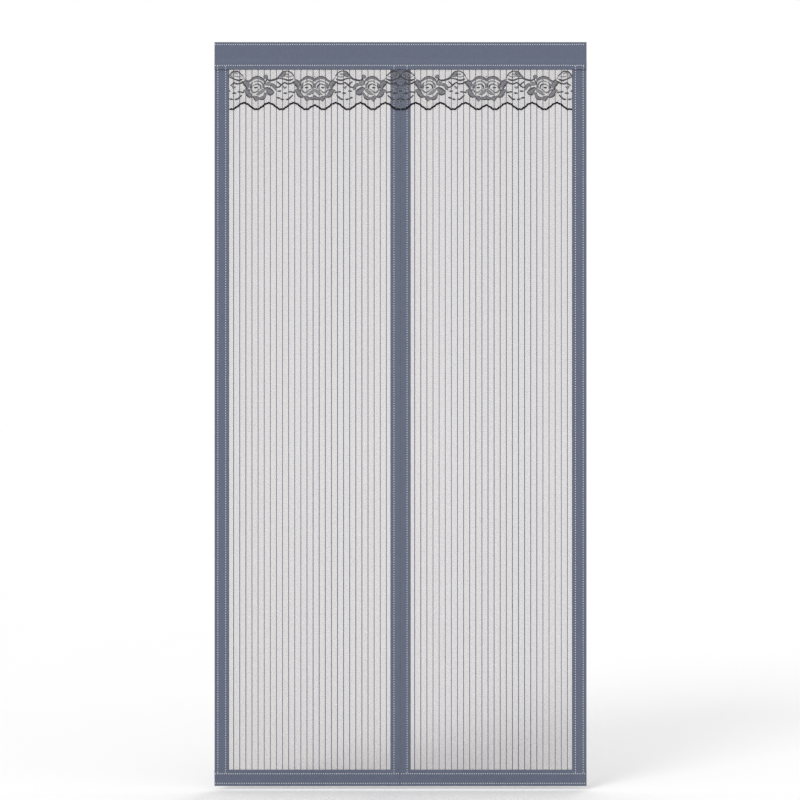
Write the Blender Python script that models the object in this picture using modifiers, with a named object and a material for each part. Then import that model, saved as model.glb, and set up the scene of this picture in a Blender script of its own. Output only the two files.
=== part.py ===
# Magnetic insect screen for a doorway, in metres, +Z up, seen from -Y.
# Two striped net leaves hang side by side from one header band and meet at the centre,
# where rows of flat magnets hold them shut. Hook and loop tape behind the header and the
# side bands holds the screen to the face of a door frame, which is the plane y = 0.
# The origin is the middle of the header tape's back face.
import math

import bmesh
import bpy
from mathutils import Matrix, Vector

# Overall size of the hung screen
SCREEN_W = 1.000
SCREEN_H = 2.000

# Fabric, net and the gap that every touching pair keeps
PLY = 0.0004
NET_T = 0.0005
CLEARANCE = 0.0003
LEAF_GAP = 0.0003

# Woven stripes of the net, and the cross bar between its rows of gaps
STRIPE_W = 0.0022
STRIPE_T = 0.0008
STRIPE_PITCH = 0.01644
GAP_ROWS = 2
CROSS_BAR_H = 0.003
NET_INTO_HEADER = 0.034
NET_INTO_HEM = 0.0155
GAP_UNDER_BAND = 0.001

# Bands: their visible widths, and how far their ends reach into the header and the hem
HEADER_H = 0.074
SIDE_BAND_W = 0.039
CENTRE_BAND_W = 0.0273
HEM_H = 0.0438
BAND_INTO_HEADER = 0.016
BAND_INTO_HEM = 0.0155
FOLD_STEPS = 6

# Where the header and hem open out to take the ends of the bands
HEADER_FLARE = (0.047, 0.055)
HEM_FLARE = (0.020, 0.027)

# Sewing thread, and each row's distance from the edge it runs along
THREAD_R = 0.00025
THREAD_GAP = 0.00015
HEADER_UPPER_SEAM = 0.0067
HEADER_LOWER_SEAM = 0.0109
SIDE_SEAM = 0.009
CENTRE_SEAM = 0.0097
HEM_UPPER_SEAM = 0.0104
HEM_LOWER_SEAM = 0.0075
THREAD_END_INSET = 0.002

# Hook tape on the door frame and loop tape sewn to the screen
TAPE_W = 0.025
TAPE_T = 0.001
TAPE_PAST_SEAM = 0.002
TAPE_END_INSET = 0.003

# Magnets in each centre band
MAGNET_COUNT = 10
MAGNET_L = 0.060
MAGNET_W = 0.012
MAGNET_T = 0.002
NET_EDGE_PAST_MAGNET = 0.0013

# Weight strip in each leaf's hem
WEIGHT_L = 0.400
WEIGHT_H = 0.016
WEIGHT_T = 0.0015
WEIGHT_ABOVE_SEAM = 0.002

# Lace valance: one strip on each leaf, with a scalloped cord along its lower edge
LACE_DROP = 0.109
LACE_TUCK = 0.014
LACE_HEM_H = 0.004
LACE_HEM_T = 0.00048
LACE_CORD_W = 0.0026
LACE_CORD_T = 0.0006
LACE_ROSE_T = 0.0004
LACE_SMALL_ROSE_T = 0.00044
LACE_LEAF_T = 0.00034
LACE_VINE_W = 0.0017
LACE_VINE_T = 0.00028
LACE_TIE_W = 0.0012
LACE_TIE_T = 0.00022
LACE_STEP_T = 0.00002
SCALLOP_PITCH = 0.0668
SIDE_SCALLOPS = 3
SCALLOP_DEPTH = 0.0172
MIDDLE_SCALLOP_DEPTH = 0.0106
MIDDLE_SCALLOP_HALF = 0.0229
CORD_STEPS = 8

# Depths, from the door frame forward, so that each layer clears the next
BAND_BACK_Y = -(2 * TAPE_T + 2 * CLEARANCE)
BAND_MID = STRIPE_T / 2 + CLEARANCE + PLY / 2
NET_Y = BAND_BACK_Y - PLY / 2 - BAND_MID
BAND_FRONT_Y = NET_Y - BAND_MID - PLY / 2
POCKET_MID = MAGNET_T / 2 + CLEARANCE + PLY / 2
WEIGHT_MID = WEIGHT_T / 2 + CLEARANCE + PLY / 2
POCKET_FRONT_Y = NET_Y - POCKET_MID - PLY / 2
POCKET_BACK_Y = NET_Y + POCKET_MID + PLY / 2
LACE_Y = POCKET_FRONT_Y - CLEARANCE - LACE_CORD_T / 2
LIP_BACK_MID_Y = POCKET_BACK_Y + CLEARANCE + PLY / 2
HEADER_FRONT_MID_Y = LACE_Y - LACE_CORD_T / 2 - CLEARANCE - PLY / 2
HEM_FRONT_MID_Y = POCKET_FRONT_Y - CLEARANCE - PLY / 2

# Heights, with z = 0 at the middle of the header tape
TOP_Z = HEADER_UPPER_SEAM - TAPE_PAST_SEAM + TAPE_W / 2
BOTTOM_Z = TOP_Z - SCREEN_H
HEADER_LOW_Z = TOP_Z - HEADER_H
HEM_TOP_Z = BOTTOM_Z + HEM_H
BAND_TOP_Z = HEADER_LOW_Z + BAND_INTO_HEADER
BAND_BOTTOM_Z = HEM_TOP_Z - BAND_INTO_HEM

# Places across the screen, all measured outwards from the middle
HALF_W = SCREEN_W / 2
SIDE_INNER_X = HALF_W - SIDE_BAND_W
MEETING_X = LEAF_GAP / 2
CENTRE_OUTER_X = MEETING_X + CENTRE_BAND_W
MAGNET_X = MEETING_X + PLY / 2 + POCKET_MID
NET_INNER_X = MAGNET_X + MAGNET_W + NET_EDGE_PAST_MAGNET
NET_OUTER_X = HALF_W - PLY - BAND_MID

SIDES = (("left", -1), ("right", 1))

COLOURS = {
    "band_fabric": ((0.140, 0.162, 0.223), 0.85, 0.0),
    "net_yarn": ((0.195, 0.240, 0.352), 0.80, 0.0),
    "lace_yarn": ((0.150, 0.150, 0.175), 0.85, 0.0),
    "seam_thread": ((0.520, 0.560, 0.630), 0.70, 0.0),
    "loop_tape": ((0.110, 0.128, 0.175), 0.95, 0.0),
    "hook_tape": ((0.400, 0.420, 0.460), 0.60, 0.0),
    "magnet": ((0.045, 0.045, 0.050), 0.45, 0.6),
    "weight_steel": ((0.300, 0.310, 0.330), 0.40, 0.9),
}


def clear_scene():
    for old in list(bpy.data.objects):
        bpy.data.objects.remove(old, do_unlink=True)


def make_collection(name):
    made = bpy.data.collections.new(name)
    bpy.context.scene.collection.children.link(made)
    return made


def make_material(name):
    colour, roughness, metallic = COLOURS[name]
    material = bpy.data.materials.new(name)
    material.use_nodes = True
    shader = material.node_tree.nodes["Principled BSDF"]
    shader.inputs["Base Color"].default_value = (*colour, 1.0)
    shader.inputs["Roughness"].default_value = roughness
    shader.inputs["Metallic"].default_value = metallic
    return material


def link_part(name, data, material, location):
    part = bpy.data.objects.new(name, data)
    data.materials.append(material)
    screen.objects.link(part)
    part.parent = hanger
    part.location = location
    return part


# Fabric bands: an open section swept along the band, thickened to one ply

def fold_arc(half):
    """The fold of a band, as points (across, depth) with its outer face at across = 0."""
    centre = PLY / 2 + half
    steps = range(FOLD_STEPS + 1)
    angles = [math.pi * i / FOLD_STEPS for i in steps]
    return [(centre - half * math.sin(a), -half * math.cos(a)) for a in angles]


def sweep_fabric(name, section, across, along, length, location, material):
    """A strip of fabric: section points are (across, y), and the strip runs along for length."""
    across, along = Vector(across), Vector(along)
    bm = bmesh.new()
    row = [bm.verts.new(across * a + Vector((0, y, 0))) for a, y in section]
    edges = [bm.edges.new(pair) for pair in zip(row, row[1:])]
    swept = bmesh.ops.extrude_edge_only(bm, edges=edges)["geom"]
    moved = [item for item in swept if isinstance(item, bmesh.types.BMVert)]
    bmesh.ops.translate(bm, verts=moved, vec=along * length)
    bmesh.ops.recalc_face_normals(bm, faces=bm.faces)
    mesh = bpy.data.meshes.new(name)
    bm.to_mesh(mesh)
    bm.free()
    strip = link_part(name, mesh, material, location)
    mesh.shade_smooth()
    mesh.set_sharp_from_angle(angle=math.radians(40))
    ply = strip.modifiers.new("ply", "SOLIDIFY")
    ply.thickness = PLY
    ply.offset = 0.0
    ply.use_even_offset = True
    return strip


def plain_section(width):
    """A band folded round the net's edge."""
    front, back = NET_Y - BAND_MID, NET_Y + BAND_MID
    fold = [(a, NET_Y + d) for a, d in fold_arc(BAND_MID)]
    return [(width, front), *fold, (width, back)]


def pocket_section(width):
    """A centre band: a deep pocket for the magnets at the fold, drawn in before its seam."""
    pocket_end = PLY / 2 + POCKET_MID + MAGNET_W + CLEARANCE
    pinch_end = width - CENTRE_SEAM - 2 * THREAD_R
    fold = [(a, NET_Y + d) for a, d in fold_arc(POCKET_MID)]
    front = [
        (width, NET_Y - BAND_MID),
        (pinch_end, NET_Y - BAND_MID),
        (pocket_end, NET_Y - POCKET_MID),
    ]
    back = [(a, 2 * NET_Y - y) for a, y in reversed(front)]
    return front + fold + back


def lipped_section(width, half, flare, front_y, back_y):
    """A header or hem: flat at its fold, then opened out to a lip that takes the bands' ends."""
    start, end = flare
    front = [(width, front_y), (end, front_y), (start, NET_Y - half)]
    back = [(start, NET_Y + half), (end, back_y), (width, back_y)]
    fold = [(a, NET_Y + d) for a, d in fold_arc(half)]
    return front + fold + back


def make_header(material):
    section = lipped_section(
        HEADER_H, BAND_MID, HEADER_FLARE, HEADER_FRONT_MID_Y, LIP_BACK_MID_Y
    )
    place = (-HALF_W, 0, TOP_Z)
    sweep_fabric("header_band", section, (0, 0, -1), (1, 0, 0), SCREEN_W, place, material)


def make_leaf_bands(label, side, material):
    height = BAND_TOP_Z - BAND_BOTTOM_Z
    outer = (side * HALF_W, 0, BAND_BOTTOM_Z)
    section = plain_section(SIDE_BAND_W)
    name = f"{label}_side_band"
    sweep_fabric(name, section, (-side, 0, 0), (0, 0, 1), height, outer, material)
    meeting = (side * MEETING_X, 0, BAND_BOTTOM_Z)
    section = pocket_section(CENTRE_BAND_W)
    name = f"{label}_centre_band"
    sweep_fabric(name, section, (side, 0, 0), (0, 0, 1), height, meeting, material)
    section = lipped_section(HEM_H, WEIGHT_MID, HEM_FLARE, HEM_FRONT_MID_Y, LIP_BACK_MID_Y)
    start = (side * MEETING_X, 0, BOTTOM_Z)
    name = f"{label}_bottom_hem"
    length = HALF_W - MEETING_X
    sweep_fabric(name, section, (0, 0, 1), (side, 0, 0), length, start, material)


# Boxes: tapes, magnets and weights

def make_box(name, low, high, material):
    """A flat bar between two corners, with its origin at its middle."""
    low, high = Vector(low), Vector(high)
    size = Vector(abs(b - a) for a, b in zip(low, high))
    bm = bmesh.new()
    bmesh.ops.create_cube(bm, size=1.0, matrix=Matrix.Diagonal((*size, 1.0)))
    mesh = bpy.data.meshes.new(name)
    bm.to_mesh(mesh)
    bm.free()
    return link_part(name, mesh, material, (low + high) / 2)


def make_tape_pair(name, x_range, z_range, hook, loop):
    """Hook tape on the door frame, and the loop tape that it grips."""
    (x0, x1), (z0, z1) = x_range, z_range
    loop_back = -TAPE_T - CLEARANCE
    make_box(f"{name}_hook_tape", (x0, -TAPE_T, z0), (x1, 0, z1), hook)
    make_box(f"{name}_loop_tape", (x0, loop_back - TAPE_T, z0), (x1, loop_back, z1), loop)


def make_tapes(hook, loop):
    half = HALF_W - TAPE_END_INSET
    make_tape_pair("header", (-half, half), (-TAPE_W / 2, TAPE_W / 2), hook, loop)
    low = HEM_TOP_Z + TAPE_END_INSET
    high = HEADER_LOW_Z - TAPE_END_INSET
    near = HALF_W - SIDE_SEAM + TAPE_PAST_SEAM
    for label, side in SIDES:
        across = (side * near, side * (near - TAPE_W))
        make_tape_pair(f"{label}_side", across, (low, high), hook, loop)


def make_magnets(label, side, material):
    pitch = (HEADER_LOW_Z - HEM_TOP_Z) / MAGNET_COUNT
    x0, x1 = side * MAGNET_X, side * (MAGNET_X + MAGNET_W)
    y0, y1 = NET_Y - MAGNET_T / 2, NET_Y + MAGNET_T / 2
    for i in range(MAGNET_COUNT):
        middle = HEADER_LOW_Z - pitch * (i + 0.5)
        low = (x0, y0, middle - MAGNET_L / 2)
        high = (x1, y1, middle + MAGNET_L / 2)
        make_box(f"{label}_magnet_{i + 1:02d}", low, high, material)


def make_weight(label, side, material):
    low_z = BOTTOM_Z + HEM_LOWER_SEAM + WEIGHT_ABOVE_SEAM
    middle = side * (HALF_W + MEETING_X) / 2
    low = (middle - WEIGHT_L / 2, NET_Y - WEIGHT_T / 2, low_z)
    high = (middle + WEIGHT_L / 2, NET_Y + WEIGHT_T / 2, low_z + WEIGHT_H)
    make_box(f"{label}_hem_weight", low, high, material)


# Sewing thread: one straight row each, lying on the fabric's front face

def make_thread(name, start, end, material):
    start, end = Vector(start), Vector(end)
    data = bpy.data.curves.new(name, "CURVE")
    data.dimensions = "3D"
    data.bevel_depth = THREAD_R
    data.bevel_resolution = 1
    data.use_fill_caps = True
    spline = data.splines.new("POLY")
    spline.points.add(1)
    spline.points[0].co = (0, 0, 0, 1)
    spline.points[1].co = (*(end - start), 1)
    return link_part(name, data, material, start)


def thread_on(front_y):
    return front_y - THREAD_GAP - THREAD_R


def make_header_seams(material):
    reach = HALF_W - THREAD_END_INSET
    rows = (
        ("header_upper_seam", TOP_Z - HEADER_UPPER_SEAM, BAND_FRONT_Y),
        ("header_lower_seam", HEADER_LOW_Z + HEADER_LOWER_SEAM, HEADER_FRONT_MID_Y - PLY / 2),
    )
    for name, z, front_y in rows:
        y = thread_on(front_y)
        make_thread(name, (-reach, y, z), (reach, y, z), material)


def make_leaf_seams(label, side, material):
    y = thread_on(BAND_FRONT_Y)
    low = BAND_BOTTOM_Z + THREAD_END_INSET
    high = BAND_TOP_Z - THREAD_END_INSET
    columns = (
        ("side_outer_seam", HALF_W - SIDE_SEAM),
        ("side_inner_seam", SIDE_INNER_X + SIDE_SEAM),
        ("centre_seam", CENTRE_OUTER_X - CENTRE_SEAM),
    )
    for name, x in columns:
        make_thread(f"{label}_{name}", (side * x, y, low), (side * x, y, high), material)
    weight_front_y = NET_Y - WEIGHT_MID - PLY / 2
    rows = (
        ("hem_upper_seam", HEM_TOP_Z - HEM_UPPER_SEAM, HEM_FRONT_MID_Y - PLY / 2),
        ("hem_lower_seam", BOTTOM_Z + HEM_LOWER_SEAM, weight_front_y),
    )
    near = side * (MEETING_X + THREAD_END_INSET)
    far = side * (HALF_W - THREAD_END_INSET)
    for name, z, front_y in rows:
        y = thread_on(front_y)
        make_thread(f"{label}_{name}", (near, y, z), (far, y, z), material)


# Flat cut-outs: closed outlines with holes, filled and thickened

def cut_out(outlines, thickness):
    """A mesh in the XZ plane, centred on y = 0, from closed outlines of (x, z) points."""
    data = bpy.data.curves.new("outline", "CURVE")
    data.dimensions = "2D"
    data.fill_mode = "BOTH"
    data.extrude = thickness / 2
    for outline in outlines:
        spline = data.splines.new("POLY")
        spline.points.add(len(outline) - 1)
        for point, (x, z) in zip(spline.points, outline):
            point.co = (x, z, 0, 1)
        spline.use_cyclic_u = True
    flat = bpy.data.objects.new("outline", data)
    bpy.context.scene.collection.objects.link(flat)
    flat.rotation_euler = (math.pi / 2, 0, 0)
    bpy.context.view_layer.update()
    mesh = bpy.data.meshes.new_from_object(
        flat.evaluated_get(bpy.context.evaluated_depsgraph_get())
    )
    mesh.transform(flat.matrix_world)
    bpy.data.objects.remove(flat)
    bm = bmesh.new()
    bm.from_mesh(mesh)
    bmesh.ops.remove_doubles(bm, verts=bm.verts, dist=1e-6)
    bmesh.ops.recalc_face_normals(bm, faces=bm.faces)
    bm.to_mesh(mesh)
    bm.free()
    return mesh


def join_meshes(name, meshes):
    """One mesh that holds all of them, for use as the second operand of a union."""
    bm = bmesh.new()
    for mesh in meshes:
        bm.from_mesh(mesh)
    joined = bpy.data.meshes.new(name)
    bm.to_mesh(joined)
    bm.free()
    return joined


def union_with(part, mesh):
    """Unites part with a helper that holds mesh, whose shapes may cross."""
    helper = bpy.data.objects.new(f"{part.name}_added", mesh)
    helpers.objects.link(helper)
    helper.parent = hanger
    helper.location = part.location
    helper.hide_render = True
    helper.display_type = "WIRE"
    joined = part.modifiers.new("joined", "BOOLEAN")
    joined.operation = "UNION"
    joined.solver = "EXACT"
    joined.use_self = True
    joined.object = helper


def rectangle(x0, x1, z0, z1):
    return [(x0, z0), (x1, z0), (x1, z1), (x0, z1)]


# The net: a thin wall with rows of gaps, crossed from top to bottom by raised stripes

def net_columns(left, right, window):
    """Edges across the net: its two ends, and the sides of every stripe between the bands."""
    count = int((window[1] - window[0]) / STRIPE_PITCH)
    first = sum(window) / 2 - STRIPE_PITCH * (count - 1) / 2
    stripes = [first + i * STRIPE_PITCH for i in range(count)]
    sides = [x + half for x in stripes for half in (-STRIPE_W / 2, STRIPE_W / 2)]
    return [left, window[0] - GAP_UNDER_BAND, *sides, window[1] + GAP_UNDER_BAND, right]


def net_rows(bottom, top):
    """Edges up the net: its two ends, and the ends of each row of gaps."""
    low, high = HEM_TOP_Z - GAP_UNDER_BAND, HEADER_LOW_Z + GAP_UNDER_BAND
    pitch = (high - low + CROSS_BAR_H) / GAP_ROWS
    lows = [low + i * pitch for i in range(GAP_ROWS)]
    return [bottom, *(z for z0 in lows for z in (z0, z0 + pitch - CROSS_BAR_H)), top]


def make_net(label, side, material):
    left, right = sorted((side * NET_INNER_X, side * NET_OUTER_X))
    window = sorted((side * CENTRE_OUTER_X, side * SIDE_INNER_X))
    columns = net_columns(left, right, window)
    rows = net_rows(HEM_TOP_Z - NET_INTO_HEM, HEADER_LOW_Z + NET_INTO_HEADER)
    across, up = len(columns) - 1, len(rows) - 1
    place = Vector(((left + right) / 2, NET_Y, HEADER_LOW_Z))

    bm = bmesh.new()
    bmesh.ops.create_grid(bm, x_segments=across, y_segments=up, size=0.5)
    gaps, stripes = [], []
    for face in bm.faces:
        centre = face.calc_center_median()
        column, row = int((centre.x + 0.5) * across), int((centre.y + 0.5) * up)
        if column % 2 and row % 2:
            gaps.append(face)
        elif column % 2 == 0 and 0 < column < across - 1:
            stripes.append(face)
    for vert in bm.verts:
        column, row = round((vert.co.x + 0.5) * across), round((vert.co.y + 0.5) * up)
        vert.co = (columns[column] - place.x, STRIPE_T / 2, rows[row] - place.z)
    bmesh.ops.delete(bm, geom=gaps, context="FACES")

    # The whole lattice gets the wall's thickness, then the stripes rise a little further
    stripe_places = {round(face.calc_center_median().x, 6) for face in stripes}
    wall = push_forward(bm, bm.faces[:], NET_T)
    raised = [f for f in wall if round(f.calc_center_median().x, 6) in stripe_places]
    push_forward(bm, raised, STRIPE_T - NET_T)
    bmesh.ops.delete(bm, geom=raised, context="FACES_ONLY")
    bmesh.ops.recalc_face_normals(bm, faces=bm.faces)
    mesh = bpy.data.meshes.new(f"{label}_net")
    bm.to_mesh(mesh)
    bm.free()
    link_part(f"{label}_net", mesh, material, place)


def push_forward(bm, faces, distance):
    """Extrudes faces towards the front and returns the moved ones."""
    made = bmesh.ops.extrude_face_region(bm, geom=faces)["geom"]
    moved = [item for item in made if isinstance(item, bmesh.types.BMVert)]
    bmesh.ops.translate(bm, verts=moved, vec=(0, -distance, 0))
    return [item for item in made if isinstance(item, bmesh.types.BMFace)]


# Lace drawing: every length below is in metres, u across from the strip's middle and
# v down from the header's lower edge. Both halves of the strip are mirror images. The
# drawing is made for a strip of this half length, and is stretched to fit another.

DRAWN_HALF = 0.2304
BIG_ROSES = ((0.0265, 0.0300), (0.1590, 0.0325))
BIG_ROSE_V = 0.0500
BIG_ROSE_HALF_H = 0.0330
SMALL_ROSES = ((0.0734, 0.0190), (0.2112, 0.0165))
SMALL_ROSE_V = 0.0175
SMALL_ROSE_HALF_H = 0.0175
LEAVES = (
    ((0.0440, 0.0400), (0.0610, 0.0350), 0.0120),
    ((0.0440, 0.0620), (0.0610, 0.0560), 0.0120),
    ((0.1360, 0.0660), (0.1080, 0.0570), 0.0150),
    ((0.1340, 0.0450), (0.1020, 0.0480), 0.0100),
    ((0.1800, 0.0400), (0.1970, 0.0350), 0.0120),
    ((0.1800, 0.0620), (0.1965, 0.0560), 0.0120),
    ((0.1370, 0.0340), (0.1325, 0.0140), 0.0090),
)
VINES = (
    ((0.0590, 0.0358), (0.0820, 0.0375), (0.1040, 0.0480)),
    ((0.1360, 0.0300), (0.1120, 0.0270), (0.0880, 0.0220)),
    ((0.1950, 0.0358), (0.2120, 0.0366), (0.2280, 0.0450)),
    ((0.0590, 0.0570), (0.0740, 0.0800), (0.0900, 0.0800), (0.1100, 0.0590)),
    ((0.1945, 0.0570), (0.2080, 0.0790), (0.2280, 0.0765)),
)
TIES = (
    ((0.0734, 0.0330), (0.0734, 0.0385)),
    ((0.2112, 0.0330), (0.2112, 0.0380)),
    ((0.0563, 0.0580), (0.0563, 0.0925)),
    ((0.1231, 0.0610), (0.1231, 0.0925)),
    ((0.1899, 0.0590), (0.1899, 0.0925)),
    ((0.0229, 0.0800), (0.0229, 0.1070)),
    ((0.1567, 0.0800), (0.1567, 0.1070)),
    ((0.0860, 0.0790), (0.0860, 0.1070)),
    ((0.2200, 0.0770), (0.2200, 0.1070)),
)
PETAL_GAPS = (
    (0.78, 0.12, 205, 335, 0.17),
    (0.50, 0.10, 195, 345, 0.15),
    (0.28, 0.14, 20, 175, 0.14),
    (0.72, 0.06, 15, 165, 0.15),
)
PETAL_STEPS = 4
ROSE_STEPS = 20
ROSE_WAVES = 5
ROSE_WAVE = 0.06
LEAF_STEPS = 3
VINE_STEPS = 3


def scallop_v(u):
    """The lace edge: a shallow scallop at the strip's middle, three more each side, flat ends."""
    low = LACE_DROP - LACE_CORD_W / 2
    u = min(abs(u), MIDDLE_SCALLOP_HALF + SIDE_SCALLOPS * SCALLOP_PITCH)
    if u < MIDDLE_SCALLOP_HALF:
        turn = math.pi * u / MIDDLE_SCALLOP_HALF
        return low - MIDDLE_SCALLOP_DEPTH * (1 + math.cos(turn)) / 2
    turn = 2 * math.pi * (u - MIDDLE_SCALLOP_HALF) / SCALLOP_PITCH
    return low - SCALLOP_DEPTH * (1 - math.cos(turn)) / 2


def rose_outline(u, v, half_w, half_h):
    """A ruffled oval, wider than high."""
    points = []
    for i in range(ROSE_STEPS):
        a = 2 * math.pi * i / ROSE_STEPS
        ruffle = 1 + ROSE_WAVE * math.sin(ROSE_WAVES * a)
        points.append((u + half_w * ruffle * math.cos(a), v + half_h * ruffle * math.sin(a)))
    return points


def crescent(u, v, half_w, half_h, gap):
    """A gap between two petals: an arc that is widest at its middle. Angles run down from +u."""
    radius, rise, start, end, width = gap
    outer, inner = [], []
    for i in range(PETAL_STEPS + 1):
        t = i / PETAL_STEPS
        a = math.radians(start + (end - start) * t)
        swell = width * math.sin(math.pi * t)
        for points, r in ((outer, radius), (inner, radius - swell)):
            points.append((u + half_w * r * math.cos(a), v + half_h * (r * math.sin(a) + rise)))
    return outer + inner[-2:0:-1]


def leaf_outline(start, end, width):
    """A pointed leaf from start to end."""
    (u0, v0), (u1, v1) = start, end
    length = math.hypot(u1 - u0, v1 - v0)
    across = (-(v1 - v0) / length, (u1 - u0) / length)
    sides = []
    for sign in (1, -1):
        for i in range(1, LEAF_STEPS):
            t = i / LEAF_STEPS
            swell = sign * width / 2 * math.sin(math.pi * t)
            point = (u0 + (u1 - u0) * t + across[0] * swell, v0 + (v1 - v0) * t + across[1] * swell)
            sides.append(point)
    half = LEAF_STEPS - 1
    return [start, *sides[:half], end, *reversed(sides[half:])]


def ribbon_outline(points, width):
    """A strip of even width along a bent line."""
    left, right = [], []
    for i, (u, v) in enumerate(points):
        before, after = points[max(i - 1, 0)], points[min(i + 1, len(points) - 1)]
        du, dv = after[0] - before[0], after[1] - before[1]
        length = math.hypot(du, dv)
        nu, nv = -dv / length * width / 2, du / length * width / 2
        left.append((u + nu, v + nv))
        right.append((u - nu, v - nv))
    return left + right[::-1]


def smooth_line(points):
    """Points along a curve that passes through the given ones."""
    ends = [points[0], *points, points[-1]]
    line = []
    for p0, p1, p2, p3 in zip(ends, ends[1:], ends[2:], ends[3:]):
        for i in range(VINE_STEPS):
            t = i / VINE_STEPS
            weights = (
                (-t + 2 * t**2 - t**3) / 2,
                (2 - 5 * t**2 + 3 * t**3) / 2,
                (t + 4 * t**2 - 3 * t**3) / 2,
                (-(t**2) + t**3) / 2,
            )
            near = (p0, p1, p2, p3)
            line.append(tuple(sum(w * p[k] for w, p in zip(weights, near)) for k in (0, 1)))
    return [*line, points[-1]]


def mirrored(points, sign):
    return [(sign * u, v) for u, v in points]


def rose_outlines(u, v, half_w, half_h, gaps):
    outline = rose_outline(u, v, half_w, half_h)
    return [outline, *(crescent(u, v, half_w, half_h, gap) for gap in gaps)]


def half_lace():
    """One half of the strip's shapes, as (outlines, thickness)."""
    shapes = []
    for u, half_w in BIG_ROSES:
        outlines = rose_outlines(u, BIG_ROSE_V, half_w, BIG_ROSE_HALF_H, PETAL_GAPS)
        shapes.append((outlines, LACE_ROSE_T))
    for u, half_w in SMALL_ROSES:
        outlines = rose_outlines(u, SMALL_ROSE_V, half_w, SMALL_ROSE_HALF_H, PETAL_GAPS[:2])
        shapes.append((outlines, LACE_SMALL_ROSE_T))
    for leaf in LEAVES:
        shapes.append(([leaf_outline(*leaf)], LACE_LEAF_T))
    for vine in VINES:
        shapes.append(([ribbon_outline(smooth_line(vine), LACE_VINE_W)], LACE_VINE_T))
    for tie in TIES:
        shapes.append(([ribbon_outline(tie, LACE_TIE_W)], LACE_TIE_T))
    return shapes


def lace_shapes():
    """Every shape of the strip but its top hem. The halves differ a little in thickness,
    so that no two faces that cross lie in one plane."""
    shapes = half_lace()
    for outlines, thickness in half_lace():
        shapes.append(([mirrored(o, -1) for o in outlines], thickness + LACE_STEP_T))
    count = round(2 * DRAWN_HALF / SCALLOP_PITCH * CORD_STEPS)
    line = [-DRAWN_HALF + 2 * DRAWN_HALF * i / count for i in range(count + 1)]
    cord = ribbon_outline([(u, scallop_v(u)) for u in line], LACE_CORD_W)
    shapes.append(([cord], LACE_CORD_T))
    return shapes


def make_lace(label, side, material):
    half_length = (SIDE_INNER_X - MEETING_X) / 2
    middle_x = side * (SIDE_INNER_X + MEETING_X) / 2
    place = Vector((middle_x, LACE_Y, HEADER_LOW_Z))
    hem = rectangle(-half_length, half_length, -LACE_HEM_H, LACE_TUCK)
    lace = link_part(f"{label}_lace", cut_out([hem], LACE_HEM_T), material, place)
    fit = half_length / DRAWN_HALF
    meshes = [
        cut_out([[(u * fit, -v) for u, v in outline] for outline in outlines], thickness)
        for outlines, thickness in lace_shapes()
    ]
    union_with(lace, join_meshes(f"{label}_lace_shapes", meshes))


clear_scene()
screen = make_collection("magnetic_insect_screen")
helpers = make_collection("helpers")
hanger = bpy.data.objects.new("header_tape_middle", None)
screen.objects.link(hanger)
finish = {name: make_material(name) for name in COLOURS}

make_header(finish["band_fabric"])
make_header_seams(finish["seam_thread"])
make_tapes(finish["hook_tape"], finish["loop_tape"])
for side_label, side_sign in SIDES:
    make_leaf_bands(side_label, side_sign, finish["band_fabric"])
    make_leaf_seams(side_label, side_sign, finish["seam_thread"])
    make_magnets(side_label, side_sign, finish["magnet"])
    make_weight(side_label, side_sign, finish["weight_steel"])
    make_net(side_label, side_sign, finish["net_yarn"])
    make_lace(side_label, side_sign, finish["lace_yarn"])
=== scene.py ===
# A two-leaf magnetic insect screen, dressed for a studio picture. Metres, +Z up, seen from
# -Y. Its hook tapes are glued to the plane y = 0, and z = 0 is the middle of the header's.
import math

import bmesh
import bpy
from mathutils import Matrix, Vector, noise


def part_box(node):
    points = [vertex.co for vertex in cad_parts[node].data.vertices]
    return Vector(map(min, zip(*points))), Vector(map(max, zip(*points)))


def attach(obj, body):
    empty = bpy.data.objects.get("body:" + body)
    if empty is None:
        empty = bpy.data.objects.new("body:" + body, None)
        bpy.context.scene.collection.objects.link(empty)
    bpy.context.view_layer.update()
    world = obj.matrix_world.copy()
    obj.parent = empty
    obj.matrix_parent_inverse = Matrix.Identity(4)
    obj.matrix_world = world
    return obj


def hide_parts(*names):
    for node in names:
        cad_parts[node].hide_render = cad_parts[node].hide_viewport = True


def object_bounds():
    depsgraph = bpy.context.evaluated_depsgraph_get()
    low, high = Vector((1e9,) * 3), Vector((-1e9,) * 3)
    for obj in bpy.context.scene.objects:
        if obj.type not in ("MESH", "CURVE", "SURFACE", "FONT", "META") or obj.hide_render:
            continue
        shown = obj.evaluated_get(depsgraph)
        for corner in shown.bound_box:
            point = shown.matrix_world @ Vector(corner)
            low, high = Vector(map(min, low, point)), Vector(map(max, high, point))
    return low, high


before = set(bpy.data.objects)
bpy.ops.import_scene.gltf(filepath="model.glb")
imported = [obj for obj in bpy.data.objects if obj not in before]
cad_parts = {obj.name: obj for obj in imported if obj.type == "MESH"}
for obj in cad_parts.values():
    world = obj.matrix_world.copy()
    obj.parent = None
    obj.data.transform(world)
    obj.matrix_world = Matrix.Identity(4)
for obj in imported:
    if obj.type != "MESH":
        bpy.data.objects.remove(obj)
solid_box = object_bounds()
SIDES = (("left", -1), ("right", 1))
HALF_W = solid_box[1].x
TOP_Z = solid_box[1].z
BOTTOM_Z = solid_box[0].z

# The camera stands square to the screen, level, and far enough for a flat, even view.
# Its place comes from where the screen's edges fall in the picture.
PICTURE_PX = 800
SCREEN_LEFT_PX, SCREEN_RIGHT_PX = 215.05, 586.0
SCREEN_TOP_PX, SCREEN_BOTTOM_PX = 42.0, 786.1
LENS, SENSOR = 85.0, 36.0
PICTURE_Y = -0.005

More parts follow.
